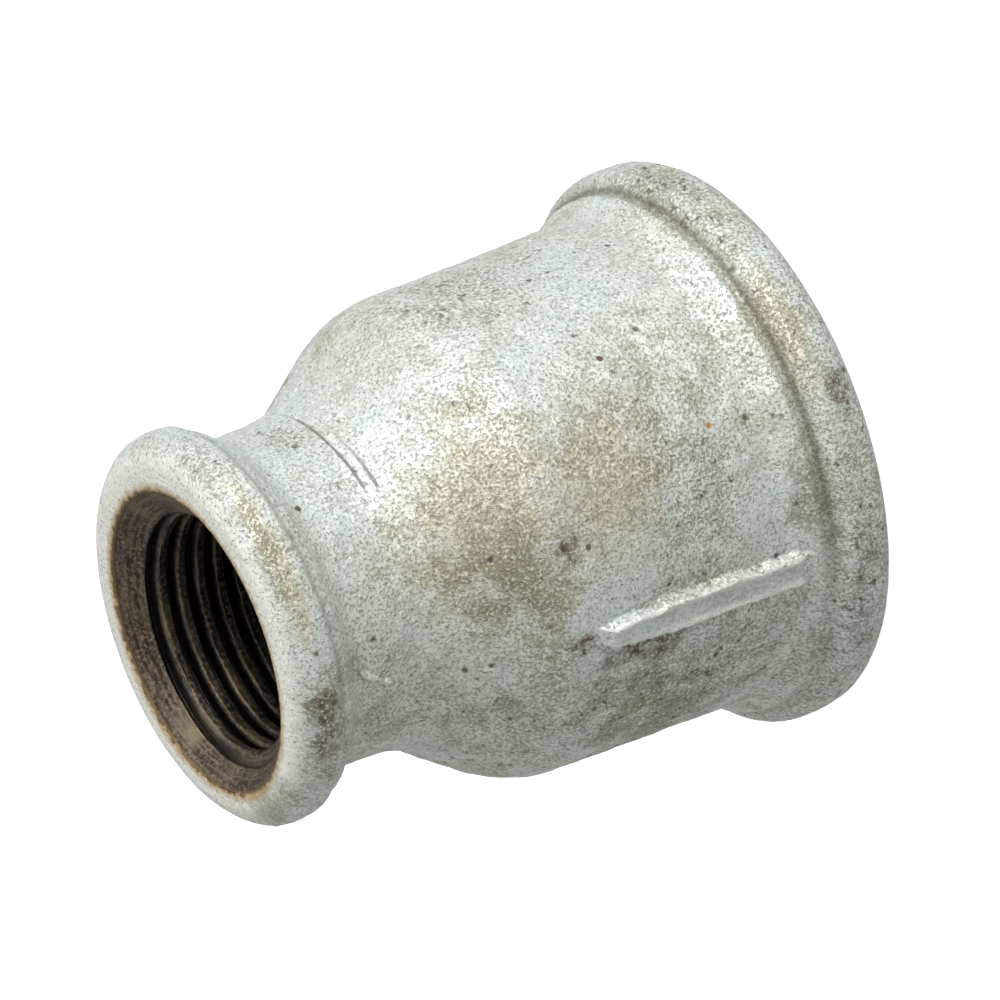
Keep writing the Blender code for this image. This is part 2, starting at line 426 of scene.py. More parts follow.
def rib_tree():
    """Raises the two grip ribs: flat-topped, a little higher along both edges, and sloped at each end."""
    tree = new_tree("grip ribs", ["Width", "Crown", "Rise", "Top", "Foot"])
    node = partial(add, tree)
    size = node("NodeGroupInput").outputs
    place = node("GeometryNodeInputPosition")
    z = node("ShaderNodeSeparateXYZ", {0: place}).outputs["Z"]
    wobble = node("ShaderNodeTexNoise", {"Scale": per(1.2), "Detail": 3.0})
    sideways = node(RANGE, {0: wobble, 3: -0.3 * MM, 4: 0.3 * MM})
    off_centre = beside_rib(tree, place)
    wide = node(MATH, {0: off_centre, 1: sideways}, operation="ADD")
    near_top = node(MATH, {0: size["Top"], 1: z}, operation="SUBTRACT")
    taper = node(RANGE, {0: near_top, 1: 4.5 * MM, 2: 0.0, 3: 1.0, 4: 1.7})
    across = node(MATH, {0: wide, 1: taper}, operation="MULTIPLY")
    half_foot = node(MATH, {0: size["Width"], 1: 0.5}, operation="MULTIPLY")
    half_crown = node(MATH, {0: size["Crown"], 1: 0.5}, operation="MULTIPLY")
    flank = node(RANGE, {0: across, 1: half_foot, 2: half_crown}, interpolation_type="SMOOTHERSTEP")
    dish = node(RANGE, {0: near_top, 1: 1.5 * MM, 2: 4.0 * MM, 3: 1.0, 4: 0.82})
    lip = node(RANGE, {0: across, 1: 0.35 * MM, 2: half_crown, 3: dish, 4: 1.0})
    below_top = node(MATH, {0: size["Top"], 1: 0.8 * MM}, operation="SUBTRACT")
    above_foot = node(MATH, {0: size["Foot"], 1: 1.3 * MM}, operation="ADD")
    upper = node(RANGE, {0: z, 1: size["Top"], 2: below_top}, **SMOOTH)
    lower = node(RANGE, {0: z, 1: size["Foot"], 2: above_foot}, **SMOOTH)
    outward = node(VECTOR, {0: place, 1: (1, 1, 0)}, operation="MULTIPLY")
    radius = node(VECTOR, {0: outward}, operation="LENGTH").outputs["Value"]
    on_outside = node(RANGE, {0: radius, 1: 14.9 * MM, 2: 15.1 * MM})
    height = size["Rise"]
    for share in (flank, lip, upper, lower, on_outside):
        height = node(MATH, {0: height, 1: share}, operation="MULTIPLY")
    direction = node(VECTOR, {0: outward}, operation="NORMALIZE")
    offset = node(VECTOR, {0: direction, "Scale": height}, operation="SCALE")
    raised = node("GeometryNodeSetPosition", {0: size["Geometry"], "Offset": offset})
    end_tree(tree, raised, size["Finish"])
    return tree


def skin_tree():
    """The casting's unevenness: out of round, wavy, grainy, with pits and pimples."""
    tree = new_tree("cast skin", ["Warp", "Waves", "Grain", "Pits", "Pimples", "Top"])
    node = partial(add, tree)
    size = node("NodeGroupInput").outputs
    place = node("GeometryNodeInputPosition")
    z = node("ShaderNodeSeparateXYZ", {0: place}).outputs["Z"]
    parts = []
    for name, scale, detail in (("Warp", 15, 1.0), ("Waves", 3.6, 2.0), ("Grain", 0.8, 3.0)):
        noise = node("ShaderNodeTexNoise", {"Scale": per(scale), "Detail": detail})
        swing = node(RANGE, {0: noise, 1: 0.3, 2: 0.7, 3: -1.0, 4: 1.0})
        parts.append(node(MATH, {0: swing, 1: size[name]}, operation="MULTIPLY"))
    for name, cell, radius, share, sign in (
        ("Pits", PIT_CELL, PIT_RADIUS, PIT_SHARE, -1.0),
        ("Pimples", 2.3, 0.35, 0.45, 1.0),
    ):
        cells = node("ShaderNodeTexVoronoi", {"Scale": per(cell)})
        chosen = node(MATH, {0: cells.outputs["Color"], 1: share}, operation="LESS_THAN")
        spot = node(RANGE, {0: cells.outputs["Distance"], 1: radius / cell, 2: 0.2 * radius / cell}, **SMOOTH)
        shown = node(MATH, {0: spot, 1: chosen}, operation="MULTIPLY")
        signed = node(MATH, {0: shown, 1: sign}, operation="MULTIPLY")
        parts.append(node(MATH, {0: signed, 1: size[name]}, operation="MULTIPLY"))
    height = parts[0]
    for part in parts[1:]:
        height = node(MATH, {0: height, 1: part}, operation="ADD")
    facing = node("GeometryNodeInputNormal")
    offset = node(VECTOR, {0: facing, "Scale": height}, operation="SCALE")
    # Little moves near the mouths, where the coat ends on the machined metal.
    from_top = node(MATH, {0: size["Top"], 1: z}, operation="SUBTRACT")
    from_end = node(MATH, {0: from_top, 1: z}, operation="MINIMUM")
    free = node(RANGE, {0: from_end, 1: 0.0, 2: 1.2 * MM, 3: 0.12, 4: 1.0})
    held = node(VECTOR, {0: offset, "Scale": free}, operation="SCALE")
    shaped = node("GeometryNodeSetPosition", {0: size["Geometry"], "Offset": held})
    end_tree(tree, shaped, size["Finish"])
    return tree


def nodule_tree():
    """Scatters small flattened beads of zinc over the faces that look outwards."""
    tree = new_tree("zinc nodules", ["Smallest", "Largest"])
    node = partial(add, tree)
    tree.interface.new_socket("Number per square metre", in_out="INPUT", socket_type="NodeSocketFloat")
    size = node("NodeGroupInput").outputs
    place = node("GeometryNodeInputPosition")
    facing = node("GeometryNodeInputNormal")
    level = node(VECTOR, {0: place, 1: (1, 1, 0)}, operation="MULTIPLY")
    outward = node(VECTOR, {0: facing, 1: level}, operation="DOT_PRODUCT").outputs["Value"]
    outside = node(MATH, {0: outward, 1: 0.0}, operation="GREATER_THAN")
    points = node("GeometryNodeDistributePointsOnFaces", {
        "Mesh": size["Geometry"],
        "Selection": outside,
        "Density": size["Number per square metre"],
        "Seed": 11,
    })
    drop = node("GeometryNodeMeshIcoSphere", {"Radius": 1.0, "Subdivisions": 2})
    width = node(
        "FunctionNodeRandomValue", {2: size["Smallest"], 3: size["Largest"], "Seed": 5},
        data_type="FLOAT",
    ).outputs[1]
    flat = node(VECTOR, {0: (1.0, 1.0, 0.45), "Scale": width}, operation="SCALE")
    drops = node("GeometryNodeInstanceOnPoints", {
        "Points": points,
        "Instance": drop.outputs["Mesh"],
        "Rotation": points.outputs["Rotation"],
        "Scale": flat,
    })
    end_tree(tree, drops, size["Finish"])
    return tree


def run_tree():
    """Thickens a line into a run of zinc that swells towards its lower end and closes at both."""
    tree = new_tree("zinc runs", ["Radius"])
    node = partial(add, tree)
    size = node("NodeGroupInput").outputs
    line = node("GeometryNodeMeshToCurve", {0: size["Geometry"]})
    along = node("GeometryNodeSplineParameter").outputs["Factor"]
    swell = node(RANGE, {0: along, 3: 0.5, 4: 1.15})
    wobble = node("ShaderNodeTexNoise", {"Scale": per(0.8), "Detail": 1.0})
    from_end = node(MATH, {0: 1.0, 1: along}, operation="SUBTRACT")
    nearest = node(MATH, {0: along, 1: from_end}, operation="MINIMUM")
    drawn_in = node(RANGE, {0: nearest, 1: 0.0, 2: 0.16, 3: 0.1, 4: 1.0}, **SMOOTH)
    tapered = node(MATH, {0: swell, 1: drawn_in}, operation="MULTIPLY")
    uneven = node(MATH, {0: tapered, 1: wobble}, operation="MULTIPLY")
    shaped = node("GeometryNodeSetCurveRadius", {"Curve": line, "Radius": uneven})
    section = node("GeometryNodeCurvePrimitiveCircle", {"Resolution": 14, "Radius": size["Radius"]})
    tube = node("GeometryNodeCurveToMesh", {
        "Curve": shaped,
        "Profile Curve": section.outputs["Curve"],
        "Scale": uneven,
        "Fill Caps": True,
    })
    smooth = node("GeometryNodeSetShadeSmooth", {0: tube})
    end_tree(tree, smooth, size["Finish"])
    return tree


# Materials


def new_material(name):
    """A material with an empty tree."""
    material = bpy.data.materials.new(name)
    material.use_nodes = True
    material.node_tree.nodes.clear()
    return material, material.node_tree


def unrolled(tree):
    """The casting's surface laid flat: degrees round from +X, millimetres up and millimetres out."""
    place = add(tree, "ShaderNodeTexCoord").outputs["Object"]
    flat = add(tree, "ShaderNodeCombineXYZ", dict(enumerate(polar(tree, place))))
    units = (math.degrees(1), 1 / MM, 1 / MM)
    return place, add(tree, VECTOR, {0: flat, 1: units}, operation="MULTIPLY")


def apart(tree, value, middle, edge=0.0, amount=0.0):
    """How far a value is from its middle, made uneven by the edge's noise."""
    away = add(tree, MATH, {0: value, 1: middle}, operation="SUBTRACT")
    distance = add(tree, MATH, {0: away}, operation="ABSOLUTE")
    return add(tree, MATH, {0: edge, 1: amount, 2: distance}, operation="MULTIPLY_ADD")


def layered(tree, coat, layers):
    """The coat with each layer's colour mixed over it in turn. A layer is (share, colour)."""
    for share, tint in layers:
        coat = add(tree, "ShaderNodeMix", {0: share, 6: coat, 7: tint}, data_type="RGBA")
    return coat


def patches(tree, surface, places, edge, soft):
    """A mask over places on the casting, in degrees and millimetres, with edges that noise makes ragged."""
    whole = 0.0
    for angle, height, half_angle, half_height in places:
        shifted = add(tree, VECTOR, {0: surface, 1: (angle, height, 0)}, operation="SUBTRACT")
        shares = (1 / half_angle, 1 / half_height, 0)
        scaled = add(tree, VECTOR, {0: shifted, 1: shares}, operation="MULTIPLY")
        distance = add(tree, VECTOR, {0: scaled}, operation="LENGTH").outputs["Value"]
        uneven = add(tree, MATH, {0: distance, 1: edge}, operation="ADD")
        spot = add(tree, RANGE, {0: uneven, 1: 1.0, 2: 1.0 - soft}, **SMOOTH)
        whole = add(tree, MATH, {0: whole, 1: spot}, operation="MAXIMUM")
    return whole


# Places on the casting where the coat differs: degrees round from +X, millimetres up, and half sizes.
WORN_PLACES = (
    (34, 24.4, 37, 6.4),
    (33, 16.8, 24, 5.5),
    (49, 3.1, 21, 1.7),
    (46, 37.65, 34, 1.0),
    (208, 24, 25, 5),
    (250, 36.9, 30, 1.0),
    (165, 3.0, 22, 1.4),
    (290, 12, 16, 4),
)
# Greenish patches: dirt, and painted shade where they darken the shoulder below the worn patch and the lower
# side.
GRIME_SHADE_PLACES = (
    (20, 24.2, 21, 4.2),
    (13, 4.7, 15, 1.9),
    (46, 37.9, 22, 0.8),
    (-50, 38.9, 24, 1.0),
    (152, 18, 22, 5.5),
    (-5, 37.0, 22, 1.8),
    (-38, 14, 26, 6),
    (230, 14, 30, 7),
    (150, 27, 24, 5),
)
# Pore patches. Those near 90 degrees round add pores that paint shade on the upper side of the body and neck.
POROUS_SHADE_PLACES = (
    (88, 37.4, 28, 1.5),
    (92, 31.5, 20, 2.4),
    (94, 2.8, 26, 2.3),
    (96, 17, 22, 8),
    (-10, 2.4, 22, 1.7),
    (24, 12, 22, 5),
    (-30, 14, 44, 15),
    (300, 30, 30, 4),
)
STAINED_PLACES = (
    (-8.8, 16.4, 5.6, 4.6),
    (-2.4, 21.0, 4.6, 1.2),
    (32, 1.6, 6.5, 1.0),
    (-5, 37.4, 15, 1.15),
    (22, 21.2, 6, 1.4),
    (190, 11, 8, 2.5),
)
SPOTS = (
    (59.8, 34.0, 1.3, 0.33),
    (58.8, 13.9, 1.0, 0.26),
    (205, 31.5, 2.2, 0.3),
)
RUST_SPOTS = (
    (35.7, 9.5, 0.8, 0.22),
    (262, 17.0, 1.0, 0.26),
)


def hot_dip_zinc(colours, casting, small, large):
    """Hot-dip galvanised iron, cast in sand and weathered.

    A satin coat of zinc that follows the sand's grain: light grey with a cool cast, full of pores a few
    tenths of a millimetre wide, with dirt and painted shade in its creases and greenish patches, painted
    light on its ribs, and cream where it has worn on the shoulder and beads.
    """
    small_crease = (casting.length - casting.small_crease) / MM
    large_crease = casting.large_crease / MM
    material, tree = new_material("hot_dip_zinc")
    node = partial(add, tree)
    place, surface = unrolled(tree)
    flat = node("ShaderNodeSeparateXYZ", {0: surface})
    angle, height, radius = flat.outputs
    # The real pores go down to 0.05 mm. The finest here are 0.2 mm across, so that they show at all.
    broad, mottle, fleck, pore = (
        node("ShaderNodeTexNoise", {
            "Vector": place,
            "Scale": per(size),
            "Detail": detail,
            "Roughness": roughness,
        })
        for size, detail, roughness in ((7, 3.0, 0.5), (1.9, 6.0, 0.62), (0.5, 4.0, 0.6), (0.2, 2.0, 0.7))
    )
    ragged = node(RANGE, {0: mottle, 1: 0.25, 2: 0.75, 3: -0.55, 4: 0.55})
    gentle = node(RANGE, {0: mottle, 1: 0.25, 2: 0.75, 3: -0.3, 4: 0.3})
    fine_ragged = node(RANGE, {0: fleck, 1: 0.25, 2: 0.75, 3: -0.35, 4: 0.35})
    worn = patches(tree, surface, WORN_PLACES, gentle, 0.7)
    grime_shade_mask = patches(tree, surface, GRIME_SHADE_PLACES, ragged, 0.9)
    porous_shade_mask = patches(tree, surface, POROUS_SHADE_PLACES, ragged, 0.9)
    stained = patches(tree, surface, STAINED_PLACES, ragged, 0.7)
    spots = patches(tree, surface, SPOTS, fine_ragged, 0.35)
    rust_spots = patches(tree, surface, RUST_SPOTS, fine_ragged, 0.4)

    # Clean coat: shade, light and a cool cast. The flat face of the small end is cleaner still.
    mottled = node(RANGE, {0: mottle, 1: 0.36, 2: 0.64})
    clean = layered(tree, colours.zinc_shade, [(mottled, colours.zinc_light)])
    cool = node(RANGE, {0: broad, 1: 0.42, 2: 0.62, 3: 0.0, 4: 0.75})
    clean_face = node(RANGE, {0: height, 1: 38.5, 2: 38.95, 3: 0.0, 4: 0.55})
    # Worn cream areas, and greenish areas of dirt and painted shade, show through the flecks.
    cream_flecks = node(RANGE, {0: fleck, 1: 0.36, 2: 0.66})
    cream = layered(tree, colours.worn_shade, [(cream_flecks, colours.worn)])
    worn_share = node(MATH, {0: worn, 1: 0.76}, operation="MULTIPLY")
    grime_shade_share = node(MATH, {0: grime_shade_mask, 1: 0.6}, operation="MULTIPLY")
    stain_flecks = node(RANGE, {0: fleck, 1: 0.4, 2: 0.56, 3: 0.35, 4: 0.95})
    stain_share = node(MATH, {0: stained, 1: stain_flecks}, operation="MULTIPLY")
    layers = [
        (cool, colours.zinc_cool),
        (clean_face, colours.zinc_bright),
        (worn_share, cream),
        (grime_shade_share, colours.grime_and_shade),
        (stain_share, colours.stain),
    ]

    # Pores: more on the large bead and where the coat is thin, and fewer on the flat faces; near 90 degrees
    # round they paint shade.
    more = node(RANGE, {0: broad, 1: 0.35, 2: 0.65, 3: 0.022, 4: -0.02})
    for outside, inside, change in ((4.6, 3.6, 0.035), (38.4, 38.9, -0.035), (0.6, 0.1, -0.06)):
        here = node(RANGE, {0: height, 1: outside, 2: inside, 3: 0.0, 4: change})
        more = node(MATH, {0: more, 1: here}, operation="ADD")
    for mask, change in ((porous_shade_mask, 0.075), (grime_shade_mask, 0.006)):
        more = node(MATH, {0: mask, 1: change, 2: more}, operation="MULTIPLY_ADD")
    open_pores = node(MATH, {0: pore, 1: more}, operation="ADD")
    pores = node(RANGE, {0: open_pores, 1: 0.52, 2: 0.66, 3: 0.0, 4: 0.65})
    wide_pores = node(MATH, {0: fleck, 1: more}, operation="ADD")
    flecks = node(RANGE, {0: wide_pores, 1: 0.62, 2: 0.74, 3: 0.0, 4: 0.8})
    bright = node(RANGE, {0: pore, 1: 0.46, 2: 0.33, 3: 0.0, 4: 0.6})
    layers += [(pores, colours.speck), (flecks, colours.pit), (bright, colours.zinc_bright)]

    # Painted shade and dirt in the crease beside each bead, less of it at angles below 12 degrees round from
    # +X, down to three tenths at -12.
    crease_fade = node(RANGE, {0: angle, 1: -12.0, 2: 12.0, 3: 0.3, 4: 1.0})
    for middle, half, share, dirt in (
        # The large crease: dirt and painted shade, with a painted dark line along its middle.
        (large_crease, 0.75, 0.5, colours.grime_and_shade),
        (large_crease - 0.15, 0.24, 0.45, colours.pit),
        # The small crease: painted shade.
        (small_crease, 0.6, 0.3, colours.crease),
    ):
        wavy = apart(tree, height, middle, fine_ragged, half)
        line = node(RANGE, {0: wavy, 1: half, 2: 0.1 * half, 3: 0.0, 4: share}, **SMOOTH)
        layers.append((node(MATH, {0: line, 1: crease_fade}, operation="MULTIPLY"), dirt))

    # Pits, in the same cells as the hollows of the cast skin.
    cells = node("ShaderNodeTexVoronoi", {"Vector": place, "Scale": per(PIT_CELL)})
    chosen = node(MATH, {0: cells.outputs["Color"], 1: PIT_SHARE}, operation="LESS_THAN")
    uneven = node(MATH, {0: fine_ragged, 1: 0.12, 2: cells.outputs["Distance"]}, operation="MULTIPLY_ADD")
    rim = PIT_RADIUS / PIT_CELL  # as a share of a cell
    hollow = node(RANGE, {0: uneven, 1: rim, 2: 0.4 * rim, 3: 0.0, 4: 0.85})
    pitted = node(MATH, {0: hollow, 1: chosen}, operation="MULTIPLY")
    layers += [(pitted, colours.pit), (spots, colours.stain), (rust_spots, colours.rust)]

    # Two lap lines on the neck, where two flows of iron met, each broken and fading away.
    laps = 0.0
    for middle, first, last in ((28.75, 54.0, 92.0), (29.45, 56.0, 118.0)):
        shown = node(RANGE, {0: apart(tree, height, middle, fine_ragged, 0.14), 1: 0.13, 2: 0.03})
        for outside, inside in ((first, first + 3), (last, last - 30)):
            here = node(RANGE, {0: angle, 1: outside, 2: inside})
            shown = node(MATH, {0: shown, 1: here}, operation="MULTIPLY")
        laps = node(MATH, {0: laps, 1: shown}, operation="MAXIMUM")
    layers.append((node(MATH, {0: laps, 1: 0.75}, operation="MULTIPLY"), colours.pit))

    # Painted light: each rib's flat top is lightened with cool zinc against its dish's shade; both edges are
    # painted bright.
    across = apart(tree, beside_rib(tree, place), 0.0, fine_ragged, 0.5 * MM)
    beside_edge = apart(tree, across, 0.74 * MM)
    brightened = node(RANGE, {0: beside_edge, 1: 0.34 * MM, 2: 0.08 * MM, 3: 0.0, 4: 0.65})
    crowned = node(RANGE, {0: across, 1: 0.95 * MM, 2: 0.7 * MM, 3: 0.0, 4: 0.55})
    on_rib = node(RANGE, {0: radius, 1: 15.95, 2: 16.3})
    above_bead = node(RANGE, {0: height, 1: 5.4, 2: 6.2})
    patchy = node(RANGE, {0: mottle, 1: 0.62, 2: 0.42, 3: 0.35, 4: 1.0})
    for share in (on_rib, above_bead):
        crowned = node(MATH, {0: crowned, 1: share}, operation="MULTIPLY")
    for share in (on_rib, above_bead, patchy):
        brightened = node(MATH, {0: brightened, 1: share}, operation="MULTIPLY")
    layers += [(crowned, colours.zinc_cool), (brightened, colours.zinc_bright)]

    # Rust creeps on to the coat at the edge of each mouth.
    for mouth, tapped_at, outside, inside in (
        (small.mouth / MM, MOUTH_DRIFT, 37.0, 37.5),
        (large.mouth / MM, (0, 0, 0), 2.0, 1.5),
    ):
        centred = node(VECTOR, {0: place, 1: tapped_at}, operation="SUBTRACT")
        level = node(VECTOR, {0: centred, 1: (1 / MM, 1 / MM, 0)}, operation="MULTIPLY")
        out = node(VECTOR, {0: level}, operation="LENGTH").outputs["Value"]
        torn = node(MATH, {0: fine_ragged, 1: 0.6, 2: out}, operation="MULTIPLY_ADD")
        on_face = node(RANGE, {0: height, 1: outside, 2: inside})
        for far, near, share, dirt in ((0.55, 0.0, 0.85, colours.rust), (0.06, -0.12, 0.8, colours.scale)):
            reach = node(RANGE, {0: torn, 1: mouth + far, 2: mouth + near, 3: 0.0, 4: share})
            layers.append((node(MATH, {0: reach, 1: on_face}, operation="MULTIPLY"), dirt))

    coat = layered(tree, clean, layers)
    metal = node(RANGE, {0: mottle, 1: 0.35, 2: 0.65, 3: 0.25, 4: 0.6})
    rough = node(RANGE, {0: fleck, 1: 0.35, 2: 0.65, 3: 0.42, 4: 0.66})
    sunk = pores
    for hole in (pitted, laps):
        sunk = node(MATH, {0: sunk, 1: hole}, operation="MAXIMUM")
    low = node("ShaderNodeBump", {"Height": mottle, "Distance": 0.16 * MM, "Strength": 0.8})
    grainy = node("ShaderNodeBump", {"Height": fleck, "Distance": 0.085 * MM, "Strength": 0.9, "Normal": low})
    hollows = node(
        "ShaderNodeBump",
        {"Height": sunk, "Distance": 0.06 * MM, "Strength": 0.8, "Normal": grainy},
        invert=True,
    )
    shader = node(
        "ShaderNodeBsdfPrincipled",
        {"Base Color": coat, "Metallic": metal, "Roughness": rough, "Normal": hollows},
    )
    node("ShaderNodeOutputMaterial", {"Surface": shader})
    return material


def tapped_iron(colours, end, face, shaded):
    """Malleable iron, tapped and left oily.

    Dark brown metal with fine rings from the tool and golden smears, painted shade that makes it near black
    at the bottom of the grooves and deeper in the bore, and painted highlights along the crests.
    """
    material, tree = new_material(f"tapped_iron_{end}")
    node = partial(add, tree)
    place, surface = unrolled(tree)
    height = node("ShaderNodeSeparateXYZ", {0: surface}).outputs["Y"]
    # Degrees are pressed together, so the noise runs out into rings about 0.25 mm apart.
    ringed = node(VECTOR, {0: surface, 1: (0.012, 1, 1)}, operation="MULTIPLY")
    rings = node("ShaderNodeTexNoise", {"Vector": ringed, "Scale": 4.5, "Detail": 3.0, "Roughness": 0.65})
    grain = node("ShaderNodeTexNoise", {"Vector": place, "Scale": per(0.28), "Detail": 3.0, "Roughness": 0.7})
    smear = node("ShaderNodeTexNoise", {"Vector": place, "Scale": per(3.2), "Detail": 3.0})
    depth = node("ShaderNodeAttribute", attribute_name="groove").outputs["Fac"]
    tone = node(MATH, {0: rings, 1: grain}, operation="ADD")
    toned = node(RANGE, {0: tone, 1: 0.86, 2: 1.14})
    golden = node(RANGE, {0: smear, 1: 0.5, 2: 0.7, 3: 0.0, 4: 0.5})
    # Painted shade: near black at the bottom of the grooves, and deeper in the bore.
    grooved = node(RANGE, {0: depth, 1: 0.1, 2: 0.5, 3: 0.0, 4: 0.92})
    deeper = node(RANGE, {0: height, 1: shaded[0], 2: shaded[1], 3: 0.0, 4: 0.75})
    flecked = node(RANGE, {0: grain, 1: 0.35, 2: 0.65, 3: -0.3, 4: 0.3})
    torn = apart(tree, height, face, flecked, 1.0)
    scaled = node(RANGE, {0: torn, 1: 0.42, 2: 0.0, 3: 0.0, 4: 0.75})
    # Painted highlights on the crests, in the crest colour, flecked by the grain.
    brightened = node(RANGE, {0: grain, 1: 0.56, 2: 0.68, 3: 0.0, 4: 0.6})
    raised = node(RANGE, {0: depth, 1: 0.02, 2: 0.2, 3: 1.0, 4: 0.0})
    bright = node(MATH, {0: brightened, 1: raised}, operation="MULTIPLY")
    metal = layered(tree, colours.iron_dark, [
        (toned, colours.iron),
        (golden, colours.crest),
        (grooved, colours.groove),
        (deeper, colours.groove),
        (scaled, colours.scale),
        (bright, colours.crest),
    ])
    rough = node(RANGE, {0: grain, 1: 0.35, 2: 0.65, 3: 0.3, 4: 0.55})
    ring_bump = node("ShaderNodeBump", {"Height": rings, "Distance": 0.06 * MM, "Strength": 0.8})
    bumped = node(
        "ShaderNodeBump", {"Height": grain, "Distance": 0.05 * MM, "Strength": 0.8, "Normal": ring_bump}
    )
    shader = node(
        "ShaderNodeBsdfPrincipled",
        {"Base Color": metal, "Metallic": 0.8, "Roughness": rough, "Normal": bumped},
    )
    node("ShaderNodeOutputMaterial", {"Surface": shader})
    return material


def finish_piece(piece):
    """The casting is one CAD body, so each of its parts rides on the root and stands for the same node."""
    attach(piece, "root")
    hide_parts("reducer_body")


# Parts of the casting


class REDUCER_OT_outside(bpy.types.Operator):
    """Add the zinc-coated outside: beads, neck, shoulder, body and grip ribs"""

    bl_idname = "reducer.outside"
    bl_label = "Zinc-coated outside"

    def execute(self, context):
        scene = context.scene
        casting = scene.reducer_casting
        relief = scene.reducer_relief
        small = scene.reducer_small_thread
        large = scene.reducer_large_thread
        top = casting.length
        small_crease = top - casting.small_crease
        large_crease = casting.large_crease
        outer = rounded([
            (small.mouth - 0.25 * MM, top - 0.16 * MM, 0),
            (small.mouth, top, 0.14 * MM),
            (casting.small_bead, top, 1.8 * MM),
            (casting.small_bead, small_crease + 0.32 * MM, 0.45 * MM),
            (casting.small_bead - 0.46 * MM, small_crease, 0.45 * MM),
            (casting.small_bead - 0.5 * MM, small_crease - 0.5 * MM, 0.8 * MM),
            (casting.neck, small_crease - 1.85 * MM, 1.9 * MM),
            (casting.neck, casting.shoulder_top, 6.2 * MM),
            (casting.body_top, casting.shoulder_foot, 7.0 * MM),
            (casting.body_foot, large_crease + 2.1 * MM, 2.2 * MM),
            (casting.large_bead - 1.2 * MM, large_crease + 0.55 * MM, 0.6 * MM),
            (casting.large_bead - 1.32 * MM, large_crease + 0.05 * MM, 0.3 * MM),
            (casting.large_bead, large_crease - 1.0 * MM, 1.0 * MM),
            (casting.large_bead, 0, 1.35 * MM),
            (large.mouth, 0, 0.14 * MM),
            (large.mouth - 0.25 * MM, 0.16 * MM, 0),
        ])
        hidden = [
            (large.mouth + 0.15 * MM, 0.65 * MM),
            (large.mouth + 0.5 * MM, 1.5 * MM),
            (casting.body_top - 0.9 * MM, 5.0 * MM),
            (casting.body_top - 1.1 * MM, casting.shoulder_foot - 1.5 * MM),
            (casting.neck - 1.0 * MM, casting.shoulder_top - 0.5 * MM),
            (casting.neck - 1.0 * MM, top - 1.8 * MM),
            (small.mouth + 0.15 * MM, top - 0.65 * MM),
        ]
        seen = stepped(outer, relief.rows)
        unseen = stepped([tuple(seen[-1]), *hidden, tuple(seen[0])], 4 * MM)[1:-1]
        piece = turned("zinc_coated_outside", np.concatenate([seen, unseen]), rib_angles(casting, relief))
        zinc = hot_dip_zinc(scene.reducer_colours, casting, small, large)
        drifted(piece, small.mouth, top)
        apply_tree(piece, rib_tree(), {
            "Width": casting.rib_width,
            "Crown": casting.rib_crown,
            "Rise": casting.rib_rise,
            "Top": casting.rib_top,
            "Foot": casting.rib_foot,
            "Finish": zinc,
        })
        apply_tree(piece, skin_tree(), {
            "Warp": relief.warp,
            "Waves": relief.waves,
            "Grain": relief.grain,
            "Pits": relief.pits,
            "Pimples": relief.pimples,
            "Top": top,
            "Finish": zinc,
        })
        finish_piece(piece)
        return {"FINISHED"}


def bore(name, thread, outline, groove_start, last_groove, face, finish, relief, drift=(0, 0, 0)):
    """Turns a bore's outline, cuts the thread in it and moves it to where it was tapped."""
    piece = turned(name, outline, even_angles(relief.bore_columns))
    towards_face = 1 if face > last_groove else -1
    apply_tree(piece, thread_tree(), {
        "Pitch": thread.pitch,
        "Crest radius": thread.crests,
        "Groove radius": thread.grooves,
        "Start": groove_start,
        "End": last_groove,
        "Run-out": last_groove + towards_face * RUN_OUT * thread.pitch,
        "Finish": finish,
    })
    piece.data.transform(Matrix.Translation(drift))
    finish_piece(piece)


# Runs of zinc that set on the neck: where each starts and ends, in degrees and millimetres up.
RUNS = ((3.2, 34.0, -7.7, 31.7), (196.0, 33.0, 203.0, 30.6))
RUN_STEPS = 24


class REDUCER_OT_zinc_drops(bpy.types.Operator):
    """Add the zinc that ran and beaded before it set. The outside is added first, and carries it"""

    bl_idname = "reducer.zinc_drops"
    bl_label = "Zinc nodules and runs"

    def execute(self, context):
        scene = context.scene
        relief = scene.reducer_relief
        outside = bpy.data.objects["zinc_coated_outside"]
        zinc = outside.data.materials[0]
        hidden_below = scene.reducer_casting.neck - 0.8 * MM
        nodules = bpy.data.objects.new("zinc_nodules", outside.data.copy())
        scene.collection.objects.link(nodules)
        apply_tree(nodules, nodule_tree(), {
            "Smallest": relief.smallest_nodule,
            "Largest": relief.largest_nodule,
            "Number per square metre": relief.nodules,
            "Finish": zinc,
        })
        finish_piece(nodules)
        skin = vertices(outside.data)
        points = []
        edges = []
        for first_angle, first_height, last_angle, last_height in RUNS:
            for step in range(RUN_STEPS + 1):
                share = step / RUN_STEPS
                bend = 0.18 * math.sin(share * 5)
                angle = math.radians(first_angle + (last_angle - first_angle) * share)
                height = (first_height + (last_height - first_height) * share + bend) * MM
                way = np.array([math.cos(angle), math.sin(angle)])
                near = skin[(abs(skin[:, 2] - height) < 0.3 * MM) & (skin[:, :2] @ way > hidden_below)]
                across = near[:, :2] @ np.array([-way[1], way[0]])
                close = near[abs(across) < 0.4 * MM]
                radius = np.mean(close[:, :2] @ way) + 0.02 * MM
                if step:
                    edges.append((len(points) - 1, len(points)))
                points.append((*(way * radius), height))
        line = bpy.data.meshes.new("zinc_runs")
        line.from_pydata(points, edges, [])
        runs = bpy.data.objects.new("zinc_runs", line)
        scene.collection.objects.link(runs)
        apply_tree(runs, run_tree(), {"Radius": relief.run_radius, "Finish": zinc})
        finish_piece(runs)
        return {"FINISHED"}


